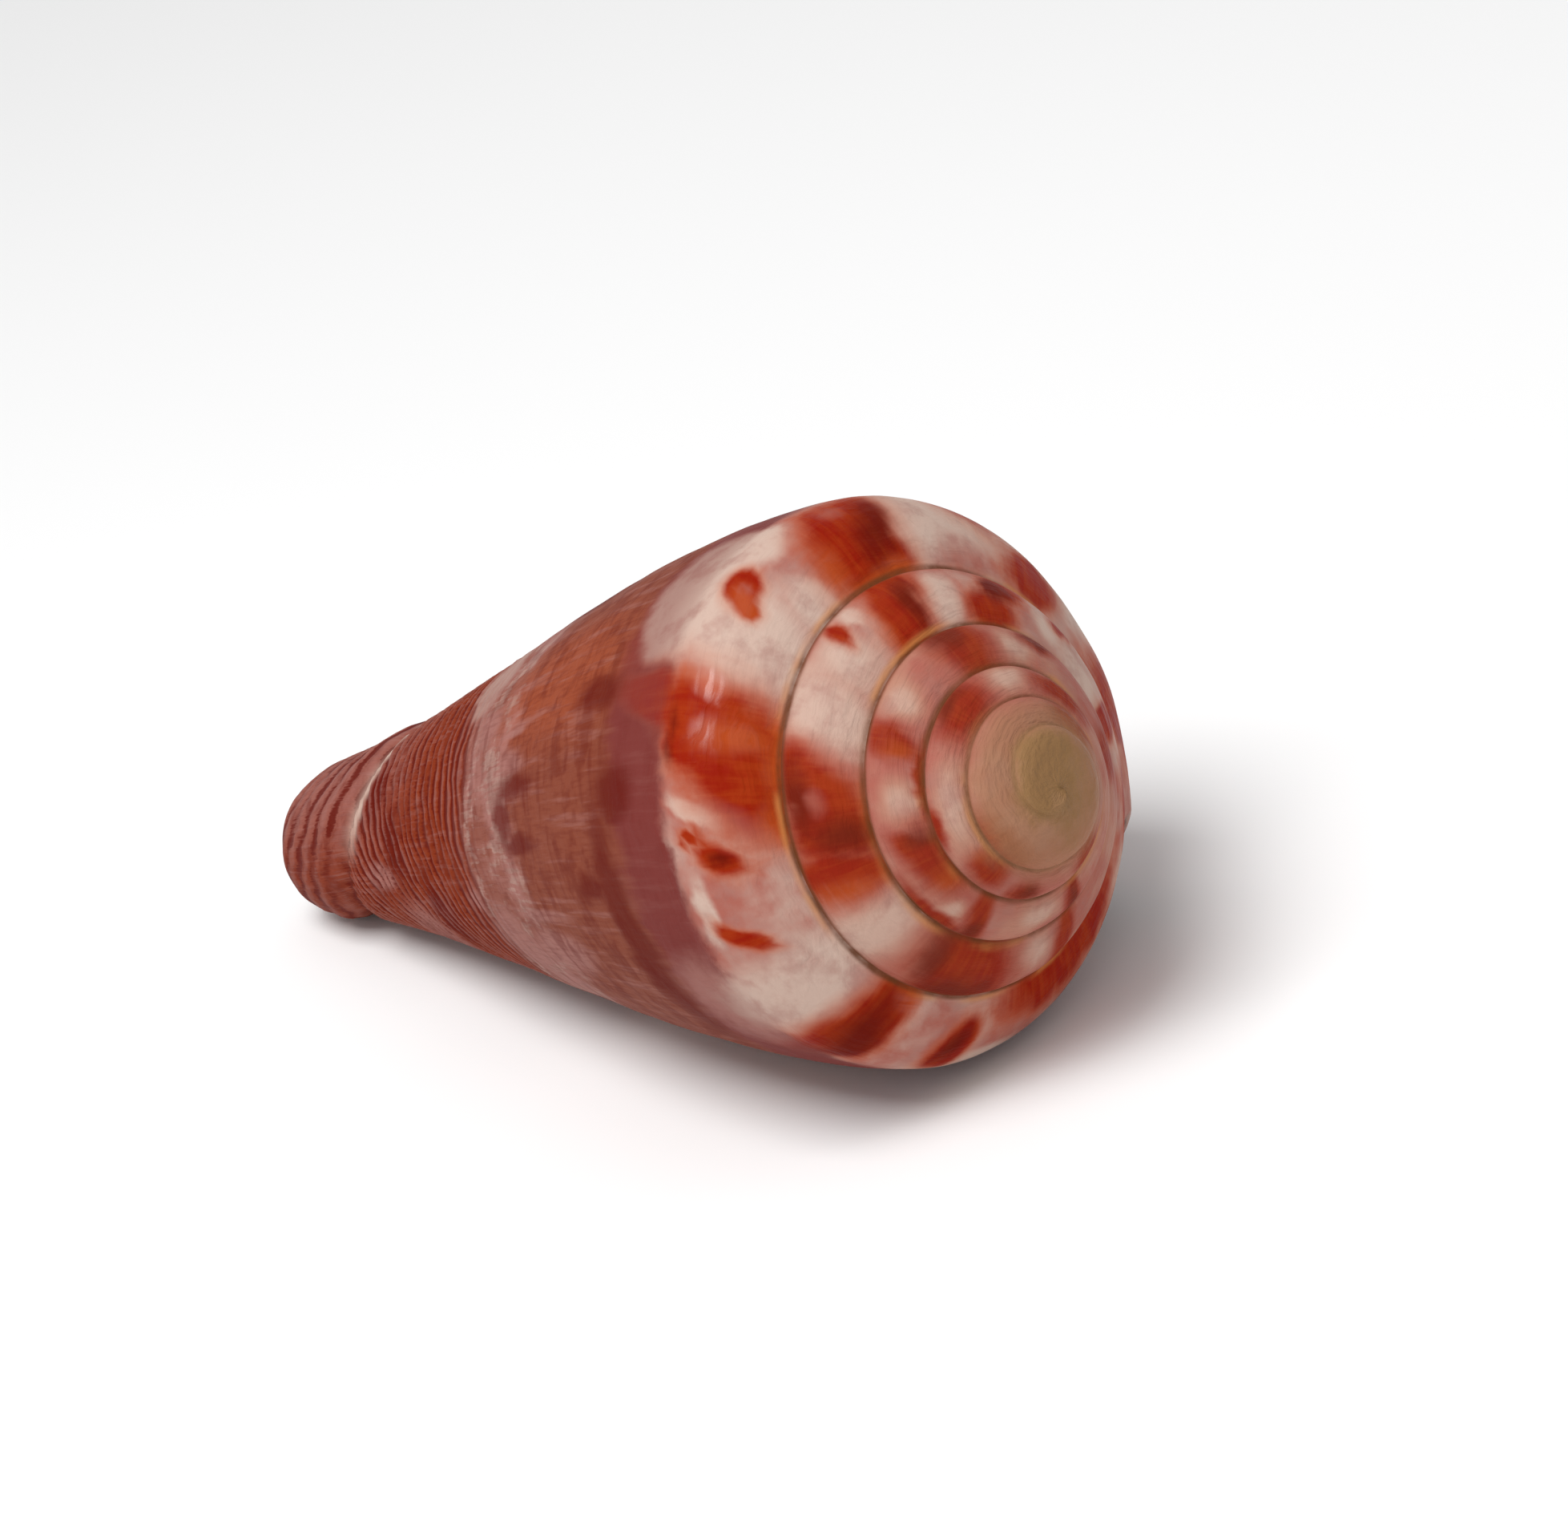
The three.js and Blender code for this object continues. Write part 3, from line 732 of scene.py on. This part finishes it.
class GlazeGraph(Graph):
    """The shell's surface as shader nodes."""

    def __init__(self, tree, colours):
        super().__init__(tree)
        for key in colours.__annotations__:
            setattr(self, key, (*getattr(colours, key), 1.0))
        growth = self.add("ShaderNodeAttribute", {"attribute_name": "growth"}, None, "Vector")
        self.turn, self.across, self.inside = self.parts(growth)
        self.here = self.add("ShaderNodeTexCoord", None, None, "Object")
        self.mottle = self.noise(self.here, MOTTLES, 4.0, 0.6)
        self.cloud = self.noise(self.here, CLOUDS, 3.0, 0.5)
        lines = self.point(self.turn * GROWTH_LINES, self.across * 1.1, 0.0)
        self.axial = self.noise(lines, 1.0, 3.0, 0.6)
        fine_lines = self.point(self.turn * FINE_GROWTH_LINES, self.across * 4.0, 4.0)
        self.striae = self.noise(fine_lines, 1.0, 2.0, 0.5)
        wavy = self.point(self.turn * 25 + 5 * self.cloud, self.across * 8 + 3 * self.cloud, 2.0)
        self.spiral = self.noise(wavy, 1.0, 3.0, 0.5)
        self.old = self.smooth(self.turn, *OLD_TURNS)
        self.ridges = self.math("COSINE", TURN * self.stored("phase"))

    def stored(self, name):
        return self.add("ShaderNodeAttribute", {"attribute_name": name}, None, "Fac")

    def patch(self, name, low, high, ragged):
        """1 inside the named patches, 0 outside, with a ragged edge between."""
        fray = ragged * (0.7 * self.mottle + 0.3 * self.axial - 0.5)
        return 1 - self.smooth(self.stored(name) + fray, low, high)


def ramp_colour(graph):
    """The blotched spire and shoulder, softer and pinker on the older whorls."""
    core = graph.patch("cream", 0.2, 1.0, 0.5)
    pale = graph.mix(graph.old * (1 - 0.45 * core), graph.cream, graph.blush)
    haze = graph.smooth(graph.cloud + 0.35 * (graph.mottle - 0.5), 0.40, 0.66)
    colour = graph.mix(haze * 0.7, graph.pink, pale)
    edge = graph.old * 0.25
    colour = graph.mix(graph.patch("cream", 0.55 - edge, 1.35 + edge, 0.6), colour, pale)
    grey = graph.smooth(graph.mottle, 0.46, 0.70) * 0.45
    colour = graph.mix(grey, colour, graph.lavender)
    halo = graph.mix(graph.old, graph.orange, graph.pink)
    colour = graph.mix(graph.patch("red", 0.75, 1.75, 0.7) * 0.6, colour, halo)
    grain = graph.smooth(graph.axial + graph.mottle - 0.5, 0.3, 0.75)
    body = graph.mix(grain * 0.3, graph.red, graph.orange)
    body = graph.mix(graph.patch("orange", 0.1, 1.4, 0.7) * 0.65, body, graph.orange)
    body = graph.mix(graph.patch("dark", 0.2, 1.5, 0.6) * 0.85, body, graph.dark)
    body = graph.mix(graph.patch("pale", 0.1, 1.4, 0.6) * 0.6, body, graph.pink)
    body = graph.mix(graph.old * 0.3, body, graph.brown)
    return graph.mix(graph.patch("red", 0.68 - edge, 1.28 + edge, 0.5), colour, body)


def side_colour(graph):
    """Bands round the body whorl, with growth streaks through them."""
    v = graph.across / SIDE_ACROSS
    wander = v + 0.05 * (graph.axial - 0.5) + 0.06 * (graph.cloud - 0.5) + 0.03 * (graph.mottle - 0.5)
    young = graph.smooth(graph.turn, -0.56, -0.42)
    colour = graph.mix(graph.smooth(wander, *MAUVE_END), graph.mauve, graph.brown)
    pale_band = graph.smooth(wander, *PALE_BAND_START) * (1 - graph.smooth(wander, *PALE_BAND_END))
    patchy = graph.smooth(graph.cloud + 0.6 * (graph.mottle - 0.5), 0.35, 0.62)
    colour = graph.mix(pale_band * (0.2 + 0.8 * patchy), colour, graph.lavender)
    flecks = graph.smooth(graph.mottle + 0.6 * (graph.striae - 0.5), 0.47, 0.66)
    colour = graph.mix(pale_band * flecks * 0.5, colour, graph.cream)
    colour = graph.mix(graph.smooth(wander, *RUST_START), colour, graph.rust)
    colour = graph.mix(graph.smooth(v, 0.55, 0.84) * (0.1 + 0.5 * young), colour, graph.lavender)
    colour = graph.mix(graph.patch("orange", 0.3, 1.2, 0.6) * (0.12 + 0.16 * young), colour, graph.orange)
    colour = graph.mix(graph.patch("pale", 0.5, 1.3, 0.8) * 0.85, colour, graph.lavender)
    rough_part = 0.25 + 0.75 * graph.smooth(v, 0.09, 0.14)
    colour = graph.mix(graph.smooth(graph.axial, 0.50, 0.70) * 0.4 * rough_part, colour, graph.lavender)
    blotch = graph.smooth(0.6 * graph.spiral + 0.4 * graph.mottle, 0.46, 0.62)
    colour = graph.mix(blotch * 0.45 * rough_part, colour, graph.dark)
    colour = graph.mix(graph.smooth(graph.striae, 0.46, 0.66) * 0.25 * rough_part, colour, graph.dark)
    return graph.mix(graph.patch("dark", 0.4, 1.3, 0.7) * 0.8, colour, graph.dark)


def ridge_colour(graph, colour):
    """Painted shade as dark broken lines in the grooves, paler ridge tops and the whitish line before the
    anterior end.
    """
    v = graph.across / SIDE_ACROSS
    loud = (0.4 + 1.2 * graph.smooth(graph.cloud, 0.35, 0.65)) * (1 - 0.4 * graph.smooth(v, 0.78, 0.88))
    wave = graph.ridges * loud + 2.4 * (graph.mottle - 0.5) + 2.0 * (graph.striae - 0.5)
    bare = 1 - graph.patch("cream", 0.7, 1.2, 0.4)
    zone = graph.smooth(v + 0.05 * (graph.cloud - 0.5), *RIDGES_START) * bare
    # The dark mixed into the grooves is painted shade: colour in place of the shadow that the shallow
    # grooves would cast
    grooves = graph.smooth(wave, 0.0, -0.8) * zone
    colour = graph.mix(grooves * 0.9, colour, graph.dark)
    tops = graph.smooth(wave, 0.2, 1.2) * zone
    colour = graph.mix(tops * 0.35, colour, graph.lavender)
    line = v + FASCIOLE_CLIMB * graph.turn + 0.006 * (graph.cloud - 0.5)
    young = graph.smooth(graph.turn, -0.56, -0.46)
    white = graph.smooth(line, 0.592, 0.610) * (1 - graph.smooth(line, 0.618, 0.648))
    fading = young * (1 - 0.6 * graph.smooth(graph.turn, -0.38, -0.25))
    return graph.mix(white * fading * (0.45 + 0.8 * graph.mottle), colour, graph.cream)


def suture_colour(graph, colour):
    """A brown line in the groove, and a golden rim outside it that comes and goes."""
    w = graph.across + 1
    wander = w + 0.05 * (graph.cloud - 0.5) + 0.03 * (graph.mottle - 0.5)
    older = (graph.turn < -1) * (graph.across < 0.01)
    wide = 1 + graph.old
    rim = graph.smooth(wander, 0.01, 0.04) * (1 - graph.smooth(wander, 0.05 * wide, 0.11 * wide))
    colour = graph.mix(rim * (0.05 + 0.6 * graph.smooth(graph.cloud, 0.48, 0.66)), colour, graph.gold)
    outer_edge = graph.smooth(wander, 0.88, 0.99) * older
    colour = graph.mix(outer_edge * 0.5, colour, graph.brown)
    line = 1 - graph.smooth(wander, 0.015, 0.06 * wide)
    edge_line = graph.smooth(wander, 0.93, 0.985) * older
    strength = 0.5 + 0.4 * graph.smooth(graph.mottle, 0.35, 0.65)
    return graph.mix(graph.math("MAXIMUM", line, edge_line) * strength, colour, graph.seam)


def glaze_colour(graph):
    """The ramp's blotches and the side's bands together, then the suture, the worn apex and the lining."""
    on_side = graph.smooth(graph.across + 0.3 * (graph.mottle - 0.5), 0.0, 0.16)
    carried = graph.math("MAXIMUM", graph.patch("cream", 0.75, 1.15, 0.4) * 0.8,
                         graph.patch("red", 0.6, 1.2, 0.4) * 0.6)
    shaded = graph.smooth(graph.across + 0.2 * (graph.cloud - 0.5), -0.1, 0.5)
    ramp = graph.mix(shaded * 0.45, ramp_colour(graph), graph.mauve)
    colour = graph.mix(on_side * (1 - carried), ramp, side_colour(graph))
    colour = suture_colour(graph, colour)
    colour = ridge_colour(graph, colour)
    age = graph.turn + graph.across + 0.9 * (graph.mottle - 0.5)
    tan = 1 - graph.smooth(age, *TAN_TURNS)
    colour = graph.mix(tan * 0.6, colour, graph.tan)
    worn = 1 - graph.smooth(age + 0.6 * (graph.cloud - 0.5), *WORN_TURNS)
    olive = graph.mix(graph.smooth(graph.mottle, 0.42, 0.62) * 0.45, graph.olive, graph.tan)
    colour = graph.mix(worn * 0.9, colour, olive)
    return graph.mix(graph.inside, colour, graph.lining)


def glaze_bump(graph, on_side):
    """Ridges and growth lines on the side, and shallow spiral waves on the ramp."""
    pits = graph.noise(graph.here, PITS, 2.0, 0.5)
    zone = graph.smooth(graph.across / SIDE_ACROSS, *RIDGES_START)
    side_lines = 0.2 * graph.striae + 0.2 * graph.axial + 0.25 * graph.ridges * zone
    height = graph.pick(on_side, side_lines + 0.4 * graph.spiral, 1.6 * graph.spiral) + 0.25 * pits
    inputs = {"Strength": 0.5, "Distance": GLAZE_DEPTH, "Height": height}
    return graph.add("ShaderNodeBump", None, inputs)


def glaze_material(colours):
    """A worn, nearly matt glaze that still shines in streaks on the orange parts of the youngest whorls."""
    material = bpy.data.materials.new("shell_glaze")
    material.use_nodes = True
    material.node_tree.nodes.clear()
    graph = GlazeGraph(material.node_tree, colours)
    on_side = graph.smooth(graph.across, 0.0, 0.3)
    streaks = 0.25 + 0.75 * graph.smooth(graph.spiral, 0.42, 0.58)
    off_suture = graph.smooth(graph.across, -0.96, -0.85)
    shine = graph.patch("orange", 0.5, 1.3, 0.5) * (1 - on_side) * (1 - graph.old) * off_suture
    inputs = {"Base Color": glaze_colour(graph), "Roughness": 0.3 + 0.25 * graph.mottle + 0.1 * on_side,
              "Normal": glaze_bump(graph, on_side), "Specular IOR Level": 0.03,
              "Coat Weight": 0.7 * shine * streaks, "Coat Roughness": 0.2}
    shader = graph.add("ShaderNodeBsdfPrincipled", None, inputs)
    graph.add("ShaderNodeOutputMaterial", None, {"Surface": shader})
    return material


class MESH_OT_cone_shell(bpy.types.Operator):
    """Grows the shell where the CAD model lies and stands it in for the CAD node"""

    bl_idname = "mesh.cone_shell"
    bl_label = "Grow Cone Shell"

    def execute(self, context):
        scene = context.scene
        tree = shell_tree(scene.shell_form, glaze_material(scene.shell_colours))
        mesh = grow_mesh(tree, scene.shell_form)
        if not mesh.vertices:
            raise RuntimeError("the coil gave no mesh")
        # The empty first slot is the carrier's own
        mesh.materials.pop(index=0)
        mesh.transform(shell_to_part())
        for point in mesh.vertices:
            point.co.z = max(point.co.z, 0.0)
        mesh.name = "cone_shell"
        shell = bpy.data.objects.new("cone_shell", mesh)
        scene.collection.objects.link(shell)
        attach(shell, "root")
        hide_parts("shell")
        return {"FINISHED"}


def plain_material(name, colour, roughness):
    material = bpy.data.materials.new(name)
    material.use_nodes = True
    material.node_tree.nodes.clear()
    graph = Graph(material.node_tree)
    inputs = {"Base Color": (*colour, 1.0), "Roughness": roughness}
    shader = graph.add("ShaderNodeBsdfPrincipled", None, inputs)
    graph.add("ShaderNodeOutputMaterial", None, {"Surface": shader})
    return material


def lay_floor(scene, settings):
    reach = FLOOR_REACH
    mesh = bpy.data.meshes.new("floor")
    corners = [(-reach, -reach, 0), (reach, -reach, 0), (reach, reach, 0), (-reach, reach, 0)]
    mesh.from_pydata(corners, [], [(0, 1, 2, 3)])
    mesh.materials.append(plain_material("floor_paper", settings.floor_colour, 0.9))
    floor = bpy.data.objects.new("floor", mesh)
    scene.collection.objects.link(floor)


def camera_matrix(settings):
    """The camera in the CAD frame, worked out from the axis's direction in the picture."""
    turn, slope = settings.axis_turn, settings.axis_slope
    axis = Vector((-math.sin(turn) * math.cos(slope), math.sin(turn) * math.sin(slope), math.cos(turn)))
    left = Vector((-math.cos(slope), math.sin(slope), 0))
    first = (left - axis * left.dot(axis)).normalized()
    second = axis.cross(first)
    picture_to_shell = Matrix((first, second, axis))
    scale = settings.camera_distance / FOCAL_PIXELS
    apex = Vector(((APEX_PIXEL_X - PHOTO_WIDTH / 2) * scale,
                   (APEX_PIXEL_Y - PHOTO_HEIGHT / 2) * scale, settings.camera_distance))
    turned = (picture_to_shell @ Matrix.Diagonal((1, -1, -1))).to_4x4()
    place = Matrix.Translation(-(picture_to_shell @ apex))
    return shell_to_part() @ place @ turned


def set_camera(scene, settings):
    data = bpy.data.cameras.new("camera")
    data.sensor_width = SENSOR_WIDTH * 1000
    data.lens = FOCAL_PIXELS / PHOTO_WIDTH * data.sensor_width
    data.clip_start = NEAREST_SEEN
    camera = bpy.data.objects.new("camera", data)
    scene.collection.objects.link(camera)
    camera.matrix_world = camera_matrix(settings)
    scene.camera = camera
    return camera


def add_key_lamp(scene, camera, power):
    """A soft square lamp up to the left of the camera."""
    data = bpy.data.lights.new("key_lamp", "AREA")
    data.shape = "SQUARE"
    data.size = KEY_SIZE
    data.energy = power
    lamp = bpy.data.objects.new("key_lamp", data)
    scene.collection.objects.link(lamp)
    lamp.location = AIM + camera.matrix_world.to_3x3() @ KEY_PLACE
    lamp.rotation_euler = (AIM - lamp.location).to_track_quat("-Z", "Y").to_euler()


def set_surroundings(scene, settings):
    world = bpy.data.worlds.new("surroundings")
    world.use_nodes = True
    background = world.node_tree.nodes["Background"]
    background.inputs["Color"].default_value = (1.0, 1.0, 1.0, 1.0)
    background.inputs["Strength"].default_value = settings.sky
    scene.world = world


class SCENE_OT_shell_stage(bpy.types.Operator):
    """Lays a pale floor and sets the lights and the photograph's view"""

    bl_idname = "scene.shell_stage"
    bl_label = "Set Stage"

    def execute(self, context):
        scene = context.scene
        settings = scene.shell_stage
        lay_floor(scene, settings)
        set_surroundings(scene, settings)
        camera = set_camera(scene, settings)
        add_key_lamp(scene, camera, settings.key_power)
        scene.view_settings.view_transform = "Standard"
        return {"FINISHED"}


class VIEW3D_PT_cone_shell(bpy.types.Panel):
    """Lists the operators and the sizes and colours they use"""

    bl_idname = "VIEW3D_PT_cone_shell"
    bl_label = "Cone Shell"
    bl_space_type = "VIEW_3D"
    bl_region_type = "UI"
    bl_category = "Cone Shell"

    def draw(self, context):
        scene = context.scene
        for operator in (MESH_OT_cone_shell, SCENE_OT_shell_stage):
            self.layout.operator(operator.bl_idname)
        for settings in (scene.shell_form, scene.shell_colours, scene.shell_stage):
            box = self.layout.box()
            for key in settings.__annotations__:
                box.prop(settings, key)


CLASSES = (ShellForm, ShellColours, StageSettings,
           MESH_OT_cone_shell, SCENE_OT_shell_stage, VIEW3D_PT_cone_shell)
SETTINGS = {"shell_form": ShellForm, "shell_colours": ShellColours, "shell_stage": StageSettings}


def register():
    for cls in CLASSES:
        bpy.utils.register_class(cls)
    for name, cls in SETTINGS.items():
        setattr(bpy.types.Scene, name, bpy.props.PointerProperty(type=cls))


def unregister():
    for name in SETTINGS:
        delattr(bpy.types.Scene, name)
    for cls in reversed(CLASSES):
        bpy.utils.unregister_class(cls)


def main():
    register()
    bpy.ops.mesh.cone_shell()
    bpy.ops.scene.shell_stage()


if __name__ == "__main__":
    main()
